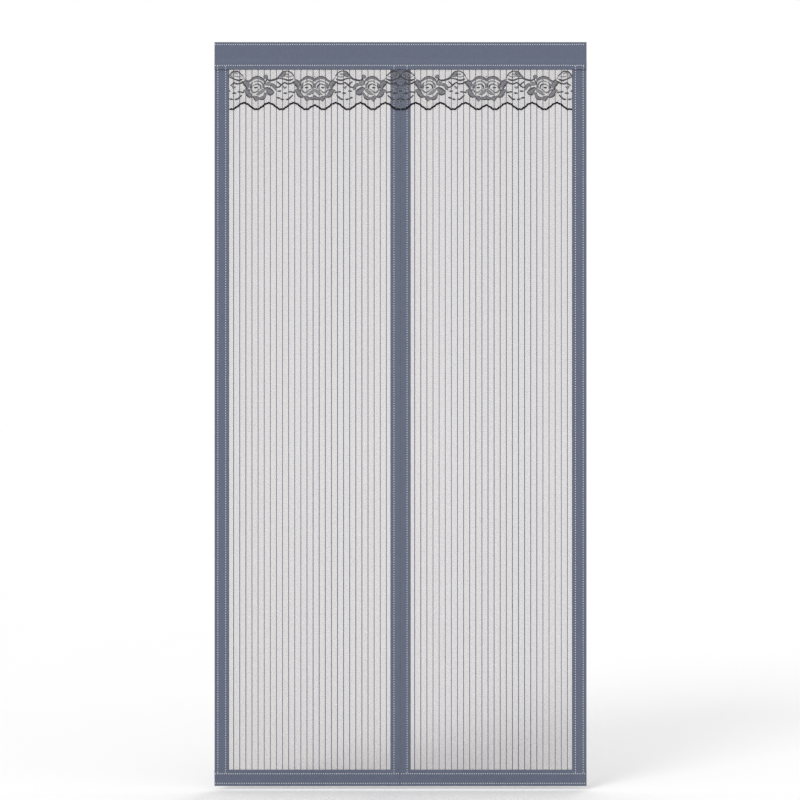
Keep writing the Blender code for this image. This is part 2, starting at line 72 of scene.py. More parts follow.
metres_per_px = (TOP_Z - BOTTOM_Z) / (SCREEN_BOTTOM_PX - SCREEN_TOP_PX)
middle_px = (SCREEN_LEFT_PX + SCREEN_RIGHT_PX) / 2, (SCREEN_TOP_PX + SCREEN_BOTTOM_PX) / 2
camera_x = (PICTURE_PX / 2 - middle_px[0]) * metres_per_px
camera_z = (TOP_Z + BOTTOM_Z) / 2 + (middle_px[1] - PICTURE_PX / 2) * metres_per_px
distance = PICTURE_PX * metres_per_px * LENS / SENSOR
camera_data = bpy.data.cameras.new("front_camera")
camera_data.lens = LENS
camera_data.sensor_width = SENSOR
camera = bpy.data.objects.new("front_camera", camera_data)
camera.location = (camera_x, PICTURE_Y - distance, camera_z)
camera.rotation_euler = (math.pi / 2, 0, 0)
bpy.context.scene.collection.objects.link(camera)
bpy.context.scene.camera = camera
bpy.context.scene.view_settings.view_transform = "Standard"
# The stitches are only two pixels apart, so the cleaning of the picture keeps their grain.
bpy.context.scene.cycles.denoising_prefilter = "FAST"

# The stage is one wide pale floor under an even white sky. A soft sun in front and a weaker
# one behind give the cloth and threads their shape without hot spots on the floor.
FLOOR_GAP = 0.010
STAGE_R, STAGE_STEPS = 60.0, 96
FLOOR_DARK, FLOOR_LIGHT = (0.735, 0.735, 0.735), (0.745, 0.745, 0.745)
SUN_BREADTH = 24


def add_node(tree, kind, inputs=(), **settings):
    """A new node with its settings, and a value or a link for each named input."""
    node = tree.nodes.new(kind)
    for name, value in settings.items():
        setattr(node, name, value)
    for name, value in inputs:
        if isinstance(value, bpy.types.NodeSocket):
            tree.links.new(value, node.inputs[name])
        else:
            node.inputs[name].default_value = value
    return node


def new_finish(name, roughness, sheen=0.0, metallic=0.0, gloss=0.5):
    """A material with one shader, and its node tree."""
    material = bpy.data.materials.new(name)
    material.use_nodes = True
    tree = material.node_tree
    shader = tree.nodes["Principled BSDF"]
    shader.inputs["Roughness"].default_value = roughness
    shader.inputs["Sheen Weight"].default_value = sheen
    shader.inputs["Metallic"].default_value = metallic
    shader.inputs["Specular IOR Level"].default_value = gloss
    return material, tree, shader


def place_of(tree, scale=(1, 1, 1)):
    """The object's own coordinates in metres, stretched by scale."""
    where = add_node(tree, "ShaderNodeTexCoord")
    mapping = add_node(
        tree, "ShaderNodeMapping", [("Vector", where.outputs["Object"]), ("Scale", scale)]
    )
    return mapping.outputs["Vector"]


def speckle(tree, vector, scale, detail=2.0):
    """Fine random marks, from 0 to 1."""
    made = add_node(
        tree, "ShaderNodeTexNoise", [("Vector", vector), ("Scale", scale), ("Detail", detail)]
    )
    return made.outputs["Fac"]


def between(tree, share, dark, light):
    """A colour that goes from dark to light as share goes from 0 to 1."""
    ramp = add_node(tree, "ShaderNodeValToRGB", [("Fac", share)])
    ramp.color_ramp.elements[0].color = (*dark, 1)
    ramp.color_ramp.elements[1].color = (*light, 1)
    return ramp.outputs["Color"]


def emboss(tree, shader, height, depth, strength=1.0):
    """Raises the surface by depth metres where height is 1."""
    bump = add_node(
        tree, "ShaderNodeBump", [("Height", height), ("Distance", depth), ("Strength", strength)]
    )
    tree.links.new(bump.outputs["Normal"], shader.inputs["Normal"])


def math_node(tree, operation, first, second=0.0):
    return add_node(tree, "ShaderNodeMath", [(0, first), (1, second)], operation=operation).outputs[0]


bm = bmesh.new()
under = Matrix.Translation((0, 0, BOTTOM_Z - FLOOR_GAP))
bmesh.ops.create_circle(bm, cap_ends=True, segments=STAGE_STEPS, radius=STAGE_R, matrix=under)
stage_mesh = bpy.data.meshes.new("studio_floor")
bm.to_mesh(stage_mesh)
bm.free()
stage_paint, tree, shader = new_finish("studio_paint", 0.9)
mottle = speckle(tree, place_of(tree), 1.5)
tree.links.new(between(tree, mottle, FLOOR_DARK, FLOOR_LIGHT), shader.inputs["Base Color"])
stage_mesh.materials.append(stage_paint)
floor = bpy.data.objects.new("studio_floor", stage_mesh)
bpy.context.scene.collection.objects.link(floor)


def soft_sun(name, heading, height, strength):
    """A broad sun, from a heading round the screen and a height over the floor in degrees."""
    data = bpy.data.lights.new(name, "SUN")
    data.angle = math.radians(SUN_BREADTH)
    data.energy = strength
    lamp = bpy.data.objects.new(name, data)
    round_z = Matrix.Rotation(math.radians(heading), 3, "Z")
    turn = round_z @ Matrix.Rotation(math.radians(height), 3, "X")
    lamp.rotation_euler = (turn @ Vector((0, -1, 0))).to_track_quat("Z", "Y").to_euler()
    bpy.context.scene.collection.objects.link(lamp)


soft_sun("front_sun", -38, -40, 1.2)
soft_sun("back_sun", 150, -35, 0.5)
sky = bpy.data.worlds.new("studio_air")
sky.use_nodes = True
sky.node_tree.nodes["Background"].inputs["Color"].default_value = (1, 1, 1, 1)
sky.node_tree.nodes["Background"].inputs["Strength"].default_value = 1.0
bpy.context.scene.world = sky

# Each net leaf is a fine open mesh of pale polyester yarn, with 26 denser stripes of
# blue-grey yarn woven in from top to bottom. Its edges run inside the bands round it.
# The pale yarn is painted a darker, warmer grey: painted shade and painted warm light.
NET_HOLE_PITCH = 0.0015
NET_YARN = 0.00030
STRIPES = 26
FIRST_STRIPE_X, STRIPE_PITCH = 0.0381, 0.01642
STRIPE_CORDS, STRIPE_CORD_W = 4, 0.00049
# The net yarn's two tones are painted shade: darker and warmer than the pale yarn itself.
NET_PAINTED_SHADE_LIGHT = (0.235, 0.200, 0.172)
NET_PAINTED_SHADE_DARK = (0.180, 0.152, 0.130)
STRIPE_DARK = (0.038, 0.070, 0.180)
STRIPE_LIGHT = (0.085, 0.138, 0.300)


def link_piece(name, bm, materials, replaced=(), smooth=True):
    """The finished mesh as a piece of the screen, which stands for the replaced nodes."""
    mesh = bpy.data.meshes.new(name)
    bm.to_mesh(mesh)
    bm.free()
    for material in materials:
        mesh.materials.append(material)
    if smooth:
        mesh.shade_smooth()
    piece = bpy.data.objects.new(name, mesh)
    bpy.context.scene.collection.objects.link(piece)
    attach(piece, "root")
    if replaced:
        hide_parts(*replaced)
    return piece


def in_rows(bm, verts, step, count):
    """Repeats a shape in a row, step apart. Each round copies the whole row so far, and what
    goes past the count comes off at the end."""
    step, first = Vector(step), sum((vert.co for vert in verts), Vector()) / len(verts)
    faces = {face for vert in verts for face in vert.link_faces}
    edges = {edge for vert in verts for edge in vert.link_edges}
    row, made = [*verts, *edges, *faces], 1
    while made < count:
        copied = bmesh.ops.duplicate(bm, geom=row)["geom"]
        moved = [item for item in copied if isinstance(item, bmesh.types.BMVert)]
        bmesh.ops.translate(bm, verts=moved, vec=step * made)
        row, made = row + copied, made * 2
    every = [item for item in row if isinstance(item, bmesh.types.BMVert)]
    limit = (count - 0.5) * step.length_squared
    past = [vert for vert in every if (vert.co - first).dot(step) > limit]
    kept = [vert for vert in every if (vert.co - first).dot(step) <= limit]
    bmesh.ops.delete(bm, geom=past, context="VERTS")
    return kept


def yarns(bm, middle, size, step, count, turn=0.0, slot=0):
    """Parallel straight yarns from the one about middle, each a thin bar."""
    shape = Matrix.Translation(middle) @ Matrix.Rotation(turn, 4, "Z") @ Matrix.Diagonal((*size, 1))
    bar = bmesh.ops.create_cube(bm, size=1.0, matrix=shape)["verts"]
    for face in {face for vert in bar for face in vert.link_faces}:
        face.material_index = slot
    in_rows(bm, bar, step, count)


# Painted shade and warm light: the yarn is coloured darker and warmer than it is.
net_yarn, tree, shader = new_finish("net_yarn", 0.55, sheen=0.1)
streaks = speckle(tree, place_of(tree, (1, 1, 0.15)), 400)
tree.links.new(between(tree, streaks, NET_PAINTED_SHADE_DARK, NET_PAINTED_SHADE_LIGHT), shader.inputs["Base Color"])
emboss(tree, shader, streaks, 0.00003)

stripe_yarn, tree, shader = new_finish("stripe_yarn", 0.75, gloss=0.3)
twist = speckle(tree, place_of(tree, (1, 1, 0.35)), 1400, 3.0)
tree.links.new(between(tree, twist, STRIPE_DARK, STRIPE_LIGHT), shader.inputs["Base Color"])
emboss(tree, shader, twist, 0.0001)

net_boxes = [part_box(f"{label}_net") for label, side in SIDES]
NET_Y = (net_boxes[0][0].y + net_boxes[0][1].y) / 2
for (label, side), (low, high) in zip(SIDES, net_boxes):
    width, height = high.x - low.x, high.z - low.z
    middle = Vector(((low.x + high.x) / 2, NET_Y, (low.z + high.z) / 2))
    half_hole = NET_HOLE_PITCH / 2
    bm = bmesh.new()
    first, size = (low.x + half_hole, NET_Y, middle.z), (NET_YARN, NET_YARN, height)
    yarns(bm, first, size, (NET_HOLE_PITCH, 0, 0), int(width / NET_HOLE_PITCH))
    first, size = (middle.x, NET_Y + NET_YARN / 2, low.z + half_hole), (width, NET_YARN, NET_YARN)
    yarns(bm, first, size, (0, 0, NET_HOLE_PITCH), int(height / NET_HOLE_PITCH))
    size = (STRIPE_CORD_W / math.sqrt(2), STRIPE_CORD_W / math.sqrt(2), height)
    for i in range(STRIPE_CORDS):
        x = FIRST_STRIPE_X + (i - (STRIPE_CORDS - 1) / 2) * STRIPE_CORD_W
        first, step = (side * x, NET_Y, middle.z), (side * STRIPE_PITCH, 0, 0)
        yarns(bm, first, size, step, STRIPES, math.pi / 4, 1)
    piece = link_piece(f"{label}_net_cloth", bm, [net_yarn, stripe_yarn], [f"{label}_net"], False)

# The side bands are strips of blue-grey oxford cloth, folded lengthwise over the outer
# edge of each net and sewn through with two rows. Their ends go under the header and hem.
PLY = 0.0004
SIDE_BAND_W = 0.039
SIDE_SEAM = 0.009
BAND_HALF = 0.0009
BAND_STEP = 0.004
ACROSS_STEP = 0.0026
FOLD_STEPS = 6
FOLD_REACH = 0.004
PUCKER, PUCKER_PITCH, PUCKER_REACH = 0.00020, 0.0155, 0.0045
PUCKER_DRIFT, PUCKER_TURN = 11, 5
LOOSE, LOOSE_ALONG, LOOSE_ACROSS = 0.00022, 14, 40
WEAVE_PITCH = 0.0009
BAND_DARK = (0.070, 0.083, 0.122)
BAND_LIGHT = (0.112, 0.132, 0.189)

band_cloth, tree, shader = new_finish("band_cloth", 0.85, sheen=0.15)
where = add_node(tree, "ShaderNodeSeparateXYZ", [("Vector", place_of(tree))])
ridges = [
    math_node(tree, "SINE", math_node(tree, "MULTIPLY", where.outputs[axis], 2 * math.pi / WEAVE_PITCH))
    for axis in ("X", "Z")
]
weave = math_node(tree, "MULTIPLY", *ridges)
slubs = math_node(
    tree,
    "ADD",
    speckle(tree, place_of(tree, (0.12, 1, 1)), 420),
    speckle(tree, place_of(tree, (1, 1, 0.12)), 420),
)
tone = math_node(tree, "ADD", math_node(tree, "MULTIPLY", weave, 0.10), slubs)
tone = math_node(tree, "MULTIPLY", tone, 0.5)
tree.links.new(between(tree, tone, BAND_DARK, BAND_LIGHT), shader.inputs["Base Color"])
emboss(tree, shader, tone, 0.00025, 0.6)


def puckered(across, along, seams, seed):
    """How far a sewn face stands out: drawn in along its seams, and loose between them."""
    drift = noise.noise(Vector((along * PUCKER_DRIFT, seed, 0)))
    ripple = math.sin(2 * math.pi * along / PUCKER_PITCH + PUCKER_TURN * drift)
    near = sum(math.exp(-(((across - seam) / PUCKER_REACH) ** 2)) for seam in seams)
    ease = 1 + noise.noise(Vector((along * LOOSE_ALONG, across * LOOSE_ACROSS, seed)))
    return PUCKER * near * (0.6 * ripple - 0.4) + LOOSE * ease * max(0.0, 1 - near)


def lay_grid(bm, rows, lengths=None, slot=0):
    """A grid of faces with its corners at the rows of points. Where lengths are given,
    its UV map holds the length along it in metres, and the share across it."""
    across, along = len(rows[0]) - 1, len(rows) - 1
    made = bmesh.ops.create_grid(bm, x_segments=across, y_segments=along, size=0.5)["verts"]
    for vert in made:
        column, row = round((vert.co.x + 0.5) * across), round((vert.co.y + 0.5) * along)
        vert.co = rows[row][column]
        for loop in vert.link_loops:
            loop.face.material_index = slot
            if lengths:
                loop[bm.loops.layers.uv.verify()].uv = (lengths[row], column / across)
    return made


def folded_band(name, node, width, faces, span, put):
    """A strip of cloth folded along its length over an edge. faces gives the depths of its
    front and back plies at a place across and along it, and put sets each point."""
    count = round((width - BAND_HALF) / ACROSS_STEP)
    flat = [BAND_HALF + (width - BAND_HALF) * i / count for i in range(count + 1)]
    steps = round((span[1] - span[0]) / BAND_STEP)
    rows = []
    for i in range(steps + 1):
        along = span[0] + (span[1] - span[0]) * i / steps
        front, back = faces(BAND_HALF, along)
        row = [(across, faces(across, along)[0]) for across in reversed(flat)]
        for k in range(1, FOLD_STEPS):
            turn = math.pi * k / FOLD_STEPS
            depth = (front + back) / 2 - (back - front) / 2 * math.cos(turn)
            row.append((PLY / 2 + (BAND_HALF - PLY / 2) * (1 - math.sin(turn)), depth))
        row += [(across, faces(across, along)[1]) for across in flat]
        rows.append([put(across, depth, along) for across, depth in row])
    bm = bmesh.new()
    lay_grid(bm, rows)
    bmesh.ops.recalc_face_normals(bm, faces=bm.faces)
    piece = link_piece(name, bm, [band_cloth], [node])
    ply = piece.modifiers.new("ply", "SOLIDIFY")
    ply.thickness = PLY
    ply.offset = 0.0
    return piece


def smooth_step(share):
    share = min(max(share, 0.0), 1.0)
    return share * share * (3 - 2 * share)


def side_faces(across, along):
    lift = puckered(across, along, (SIDE_SEAM, SIDE_BAND_W - SIDE_SEAM), 1.0)
    lift *= smooth_step(across / FOLD_REACH)
    return NET_Y - BAND_HALF - lift, NET_Y + BAND_HALF


for label, side in SIDES:
    low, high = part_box(f"{label}_side_band")
    piece = folded_band(
        f"{label}_side_band_cloth",
        f"{label}_side_band",
        SIDE_BAND_W,
        side_faces,
        (low.z, high.z),
        lambda across, depth, along: (side * (HALF_W - across), depth, along),
    )

# The centre bands are the same cloth, folded over the inner edge of each net. The fold is
# a pocket for the magnets, closed by one seam, and swells a little over every magnet.
CENTRE_BAND_W = 0.0273
CENTRE_SEAM = 0.0097
MEETING_X = 0.00002
POCKET_HALF, POCKET_SLACK_HALF = 0.0015, 0.0012
POCKET_END, PINCH_END = 0.0140, 0.0171
MAGNETS = 10
MAGNET_FADE = 0.010
MAGNET_DARK, MAGNET_LIGHT = (0.020, 0.020, 0.022), (0.060, 0.060, 0.065)

magnet_spans = [
    (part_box(f"left_magnet_{i:02d}")[0].z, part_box(f"left_magnet_{i:02d}")[1].z)
    for i in range(1, MAGNETS + 1)
]


def centre_faces(across, along):
    over = max(
        smooth_step(1 - max(low - along, along - high, 0.0) / MAGNET_FADE)
        for low, high in magnet_spans
    )
    pocket = POCKET_SLACK_HALF + (POCKET_HALF - POCKET_SLACK_HALF) * over
    pinch = smooth_step((across - POCKET_END) / (PINCH_END - POCKET_END))
    half = pocket + (BAND_HALF - pocket) * pinch
    lift = 0.6 * puckered(across, along, (CENTRE_BAND_W - CENTRE_SEAM,), 2.0)
    lift *= smooth_step(across / FOLD_REACH) * (1 - over * (1 - pinch))
    return NET_Y - half - lift, NET_Y + half + lift * 0.5


for label, side in SIDES:
    low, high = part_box(f"{label}_centre_band")
    piece = folded_band(
        f"{label}_centre_band_cloth",
        f"{label}_centre_band",
        CENTRE_BAND_W,
        centre_faces,
        (low.z, high.z),
        lambda across, depth, along: (side * (MEETING_X + across), depth, along),
    )

# The magnets are flat bars of dark ferrite with a slightly grainy pressed face. They are
# hidden in the pockets of the centre bands, and face each other across the meeting line.
magnet_ferrite, tree, shader = new_finish("magnet_ferrite", 0.5, metallic=0.4)
grain = speckle(tree, place_of(tree), 900, 4.0)
tree.links.new(between(tree, grain, MAGNET_DARK, MAGNET_LIGHT), shader.inputs["Base Color"])
emboss(tree, shader, grain, 0.00005)


def refinish(names, material):
    """Gives the solids of these names a new material."""
    for name in names:
        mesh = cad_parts[name].data
        mesh.materials.clear()
        mesh.materials.append(material)


for label, side in SIDES:
    refinish([f"{label}_magnet_{i:02d}" for i in range(1, MAGNETS + 1)], magnet_ferrite)

# Each leaf ends in a hem of the same cloth, folded up over the net's lower edge. It is
# closed round the weight strip, and opens a little above to take the ends of the bands.
HEM_H = 0.0438
HEM_UPPER_SEAM, HEM_LOWER_SEAM = 0.0104, 0.0075
HEM_HALF = 0.00125
HEM_FLARE = (0.018, 0.029)
HEM_FRONT_Y, LIP_BACK_Y = -0.0059, -0.0015


def hem_faces(across, along):
    open_share = smooth_step((across - HEM_FLARE[0]) / (HEM_FLARE[1] - HEM_FLARE[0]))
    front = NET_Y - HEM_HALF + (HEM_FRONT_Y - NET_Y + HEM_HALF) * open_share
    back = NET_Y + HEM_HALF + (LIP_BACK_Y - NET_Y - HEM_HALF) * open_share
    lift = puckered(across, along, (HEM_LOWER_SEAM, HEM_H - HEM_UPPER_SEAM), 3.0)
    lift *= smooth_step(across / FOLD_REACH)
    return front - lift, back + 0.3 * lift * (1 - open_share)


for label, side in SIDES:
    low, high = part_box(f"{label}_bottom_hem")
    piece = folded_band(
        f"{label}_bottom_hem_cloth",
        f"{label}_bottom_hem",
        HEM_H,
        hem_faces,
        (MEETING_X, HALF_W),
        lambda across, depth, along: (side * along, depth, BOTTOM_Z + across),
    )

# A flat strip of brushed steel lies in each hem, above the lower seam. Its weight pulls the
# leaf straight and brings it back to the middle.
STEEL_DARK, STEEL_LIGHT = (0.36, 0.37, 0.39), (0.52, 0.53, 0.55)

strip_steel, tree, shader = new_finish("strip_steel", 0.38, metallic=1.0)
brushed = speckle(tree, place_of(tree, (0.02, 1, 1)), 900, 3.0)
tree.links.new(between(tree, brushed, STEEL_DARK, STEEL_LIGHT), shader.inputs["Base Color"])
emboss(tree, shader, brushed, 0.00003)
refinish([f"{label}_hem_weight" for label, side in SIDES], strip_steel)

# The lace is one strip of embroidered tulle on each leaf, held by its plain heading under
# the header. Roses, leaves and vines are worked in grey satin stitch, and a thick black
# cord finishes the scalloped edge.
HEADER_H = 0.074
HEADER_LOW_Z = TOP_Z - HEADER_H
LACE_Y = -0.0061
LACE_HALF = 0.2304
LACE_MIDDLE_X = 0.2306
HEADING_H, HEADING_T = 0.0138, 0.00035
ROSE_X = (-0.2953, -0.1583, -0.0213)
ROSE_DOWN = 0.0488
STITCH_T, LINE_T, TONE_RISE = 0.0007, 0.0009, 0.00008
FULL_RISE_W = 0.001
SHAPE_REACH = 0.01
ROUND_STEPS = 8
PETAL_STEPS, LINE_STEPS = 3, 4
# The pale tone is the mid yarn painted lighter: a painted highlight where the satin catches the light.
LACE_TONES = ("dark", "mid", "pale")
TULLE_SLOT, CORD_SLOT = 3, 4
# The drawing is in millimetres, from the eye of a rose, across and down. A petal has its two
# sides, and a line its widths at start, middle and end, and then its points.
BIG_ROSE_PETALS = (
    (
        "mid",
        ((-35.2, -12.8), (-32.9, -9.5), (-29.7, -5.6), (-26.4, -1.7), (-25.2, 6.5)),
        ((-35.2, -12.8), (-27.3, -20.7), (-19.5, -16.5), (-16.5, -8.2), (-21.5, 6.5)),
    ),
    (
        "mid",
        (
            (-23.2, -17), (-14.8, -20), (-8.2, -26.2), (-0.9, -29.3),
            (5.1, -30), (11.6, -28.6), (18.5, -25), (23.4, -19.7),
        ),
        (
            (-20.9, -12.8), (-14.4, -15.6), (-8.8, -19.5), (-2.3, -22.4),
            (4.6, -23.2), (11.6, -21.7), (17.6, -18.8), (22.2, -14.6),
        ),
    ),
    (
        "mid",
        (
            (-5.1, -15.4), (-0.9, -18.2), (5.1, -19.5), (11.6, -18.5),
            (17.6, -14.6), (21.8, -8.2), (22.2, -0.7),
        ),
        (
            (-4.2, -13.5), (0, -15.6), (5.1, -16.5), (10.2, -15.6),
            (14.4, -11.9), (17.6, -6.3), (17.6, -0.7),
        ),
    ),
    (
        "dark",
        ((-8.2, -5.6), (-2.8, -8.9), (3.7, -11.1), (9.7, -10), (14.4, -5.8), (15.3, -1.7)),
        ((-7.4, -4.4), (-2.3, -6.5), (3.7, -8.2), (8.3, -6.8), (11.1, -3.1), (11.6, -0.3)),
    ),
    (
        "dark",
        ((-5.7, 0.3), (-3.2, -1.7), (1.9, -2.2), (5, -0.3)),
        ((-5.7, 0.3), (-2.8, 2.2), (2.3, 1.9), (5, -0.3)),
    ),
    (
        "mid",
        ((-9.7, -14.5), (-14.8, -10), (-16.7, -4.4), (-15.8, 1.3)),
        ((-7.9, -12.8), (-9.7, -8.2), (-9.1, -3.5), (-9.7, 0.4)),
    ),
    (
        "mid",
        ((-35.2, 7.6), (-26.9, 3.4), (-19, 5.9), (-14.8, 12.7), (-10.2, 19.8), (-7, 24.1)),
        ((-35.2, 7.6), (-29.7, 12.7), (-26.9, 17.8), (-21.8, 23.5), (-15.3, 26), (-7, 25)),
    ),
    (
        "mid",
        ((-10.2, 21.5), (-6.9, 28.5), (-3.2, 34), (0.5, 38)),
        ((-10.2, 21.5), (1.9, 22.4), (9.1, 29.8), (0.5, 38)),
    ),
    (
        "mid",
        ((2.8, 25.2), (11.6, 25.4), (18.5, 22), (23.4, 16.4), (26.4, 12.7)),
        ((3.7, 29.4), (11.6, 32.2), (20.4, 31.5), (26.4, 25.2), (29.7, 17.3)),
    ),
    (
        "pale",
        ((-0.2, 19.3), (6.5, 11.8), (14.4, 6.2), (21.3, 3), (25.5, 4.5)),
        ((-0.2, 19.3), (6.5, 19.8), (14.4, 16.7), (20.9, 11.3), (25.5, 4.5)),
    ),
    (
        "mid",
        ((23.2, 1.6), (29.7, -0.7), (37.5, 1.3), (44, 6.2), (48.7, 13)),
        ((24.1, 4.4), (28.7, 10.4), (32.4, 17.8), (40.3, 19.8), (48.7, 13)),
    ),
    (
        "pale",
        ((23.6, -8.6), (27.8, -13.5), (33.4, -16.3), (38.5, -15.6), (40.8, -10.9)),
        ((24.1, -7.2), (28.7, -5.8), (33.4, -5.6), (38, -5.8), (40.8, -8.2)),
    ),
    (
        "mid",
        ((34.3, -10), (40.8, -12.1), (48.2, -10.9), (54.2, -5.4), (56.1, 1.1), (54.7, 7.6)),
        ((34.3, -5.8), (39.9, -4.4), (44.5, -1.7), (48.2, 3), (51.4, 6.2), (54.7, 7.6)),
    ),
    (
        "mid",
        ((25.8, -23.5), (20.9, -27.2), (20.4, -30.9), (24.1, -34.3), (28.1, -35.2)),
        ((25.8, -23.5), (30.6, -25.3), (32.9, -28.6), (31.1, -33.2), (28.1, -35.2)),
    ),
)
BIG_ROSE_LINES = (
    ("dark", (2.9, 4.3, 2.9), (-35.2, -12.8), (-30.6, -6.8), (-26, -1.7), (-23.6, 5.5)),
    ("dark", (3.4, 3.8, 1.8), (-35.2, -12.8), (-30.8, -17), (-26.9, -20.2)),
    (
        "dark", (2.5, 3.1, 2.5),
        (-23.2, -17), (-14.8, -20), (-8.2, -26.2), (-0.9, -29.3),
        (5.1, -30), (11.6, -28.6), (18.5, -25), (23.4, -19.7),
    ),
    ("dark", (2.7, 4, 2.2), (-15.8, 0.4), (-12.5, -0.6), (-9.5, -3.1)),
    ("mid", (3.4, 4.7, 3.6), (-19, 5.6), (-13, 7), (-8.8, 11.5), (-4.2, 13.2), (0.5, 11.8)),
    ("pale", (3.6, 2.5, 1.8), (0.5, 11.8), (6.5, 6.7), (13.9, 2), (19.5, 0.2)),
    ("dark", (2.5, 3.4, 2.5), (-26.9, 17.8), (-21.8, 23.5), (-15.3, 26), (-8.2, 25.2)),
    ("dark", (1.8, 2.7, 2), (-7.9, 23.4), (-4.6, 29.8), (0.2, 36.8)),
    ("dark", (2.2, 2.9, 2.2), (6.5, 30.3), (13.9, 32.2), (20.9, 31.2), (26.1, 25.7)),
    ("dark", (2, 2.9, 2.7), (23.2, 1.6), (29.7, -0.5), (37.5, 1.6), (44, 6.5), (48.2, 12.4)),
    ("dark", (2.2, 2.9, 2.2), (31.5, 17.3), (37.5, 20.2), (44.5, 17.8), (48.4, 13.5)),
    ("dark", (2.7, 3.4, 2.5), (29.7, -24.4), (28.7, -19.7), (26, -15.6), (24.3, -10.9)),
    ("dark", (3.4, 5.2, 4.5), (31.1, -23), (36.2, -19.3), (44.5, -20), (53.8, -22.8), (57, -25)),
)
SMALL_ROSE_PETALS = (
    (
        "mid",
        ((80.5, -44.6), (74.6, -44), (70.3, -40.9), (65.9, -34.8), (61.6, -30.2)),
        ((81.6, -43.6), (81.7, -39.1), (80.1, -34.1), (77, -29.4), (62.8, -27.5)),
    ),
    (
        "dark",
        ((60, -27), (68.3, -26.5), (77, -24.7), (84.1, -22.5), (92, -22.5), (99.5, -24.5)),
        ((61.2, -23.7), (69.1, -23), (76.6, -20.8), (83.3, -17.9), (91.2, -17.4), (99.9, -21.2)),
    ),
    (
        "pale",
        ((80.9, -35.2), (83.3, -37.9), (88, -38.4), (91.6, -36.8)),
        ((80.9, -35), (84.9, -33.4), (88.8, -34.5), (91.6, -36.6)),
    ),
)
SMALL_ROSE_LINES = (
    (
        "dark", (2.2, 3.1, 4),
        (80.5, -44.4), (74.6, -43.8), (70.3, -40.7), (65.9, -34.8),
        (61.6, -30.2), (58.4, -24.5), (54.1, -21.6),
    ),
    (
        "dark", (2.5, 3.1, 3.1),
        (80.1, -44.1), (85.7, -44.6), (91.2, -42.4), (97.1, -38.4), (101.4, -32.3),
    ),
    ("mid", (1.6, 2, 2.5), (101.8, -30.9), (104.6, -25.6), (108.5, -21.6), (114.1, -19.2)),
    ("mid", (2, 2.7, 2), (78.2, -32.3), (81.7, -29.8), (88, -28.6), (94.3, -30.2), (98.7, -34.1)),
)
END_ROSE_PETALS = (
    (
        "pale",
        ((71.5, -40.1), (68.7, -36.1), (68.7, -31.6), (71.9, -28), (77.2, -26.3)),
        ((73.6, -38.7), (71.9, -35.2), (71.9, -32.5), (74.5, -29.8), (78.1, -28)),
    ),
    (
        "pale",
        ((75, -40.4), (81.7, -41.2), (87.9, -38.9)),
        ((75.4, -37.6), (80.8, -38), (87, -36)),
    ),
    (
        "mid",
        ((73.4, -34.4), (76.4, -35.6), (79.4, -34.2)),
        ((73.4, -34.2), (76.4, -32.2), (79.4, -34)),
    ),
    (
        "dark",
        (
            (64, -31.6), (69, -28.8), (75, -26.2), (82, -23.7),
            (89.7, -22), (95, -22.8), (100.4, -24.2),
        ),
        (
            (64, -28.4), (69, -25.6), (75, -22.8), (82, -19.8),
            (89.7, -16.8), (95, -17.2), (100.6, -20.6),
        ),
    ),
)
END_ROSE_LINES = (
    (
        "dark", (2.9, 3.4, 3.8),
        (64, -30.6), (66.6, -33), (68.6, -36), (71.9, -40.1),
        (76.3, -43), (82.5, -43.6), (88.8, -43.9),
    ),
    ("dark", (3.6, 2.9, 3.1), (88.4, -43.9), (93.7, -39.2), (97.7, -35.6), (102.2, -31.8)),
    ("mid", (1.6, 2, 2.5), (101.8, -30.9), (104.6, -25.6), (108.5, -21.6), (114.1, -19.2)),
    ("mid", (1.8, 2.5, 1.8), (80, -31.2), (86, -29.8), (92.3, -29), (98, -30.2)),
    ("dark", (2.5, 3.8, 3.8), (69.2, -5.6), (73.6, -8.6), (78.6, -13.2)),
)
VINES = (
    (
        "dark", (3.9, 4.3, 4.5),
        (78.6, -13.4), (84.1, -10.5), (89.6, -10.2), (96.7, -12.1), (101.8, -15.4),
    ),
    (
        "dark", (3.5, 4.3, 3.9),
        (54.1, -1.2), (60.4, -1), (65.9, -4.7),
        (70.7, -9.1), (75, -12.6), (78.6, -13.4),
    ),
    ("dark", (3.5, 3.9, 3.7), (57.7, -15.4), (62, -12.2), (66.7, -8.1)),
    ("mid", (2.7, 6, 3.5), (73.2, -4.2), (77.1, 0.3), (81.6, -1.8)),
    ("dark", (2.9, 4.5, 3.9), (58.8, 9.3), (62.8, 9.5), (66.9, 9.1)),
    ("dark", (2.9, 4.7, 2.9), (74.8, 15), (79.2, 14.6), (83.6, 14.8)),
    ("dark", (4.3, 3.5, 4.7), (90, 11.1), (96.7, 11.8), (103.2, 13)),
    ("dark", (3.9, 5, 2.4), (57.7, 26.8), (61.6, 27.6), (65.1, 28.7)),
    ("dark", (2.7, 4.7, 2.7), (67.1, 30.8), (71.1, 31.3), (75.2, 31.8)),
    ("dark", (2.7, 4.7, 3.9), (81.3, 31.3), (84.9, 31.3), (88.2, 30.8)),
    ("dark", (3.9, 3.9, 3.5), (88.2, 30.8), (92.8, 26.4), (98.7, 20.8)),
)
SCALLOP_PITCH, SCALLOP_DEPTH = 0.0668, 0.0172
MIDDLE_SCALLOP_HALF, MIDDLE_SCALLOP_DEPTH = 0.0229, 0.0106
EDGE_DOWN = 0.1070
EDGE_CORD_W, EDGE_CORD_T = 0.0049, 0.0015
EDGE_CORD_Y = -0.0064
CORD_STEP, CORD_END = 0.0011, 0.0028
CORD_WOBBLE, WOBBLES = 0.0009, 3
KNOB_PITCH, KNOB_SWELL = 0.0061, 0.14
SIDE_SCALLOPS = 3
PICOT_AWAY, PICOT_END = 0.005, 0.004
PICOT_DROP, PICOT_SAG, PICOT_HALF = 0.0020, 0.0006, 0.0014
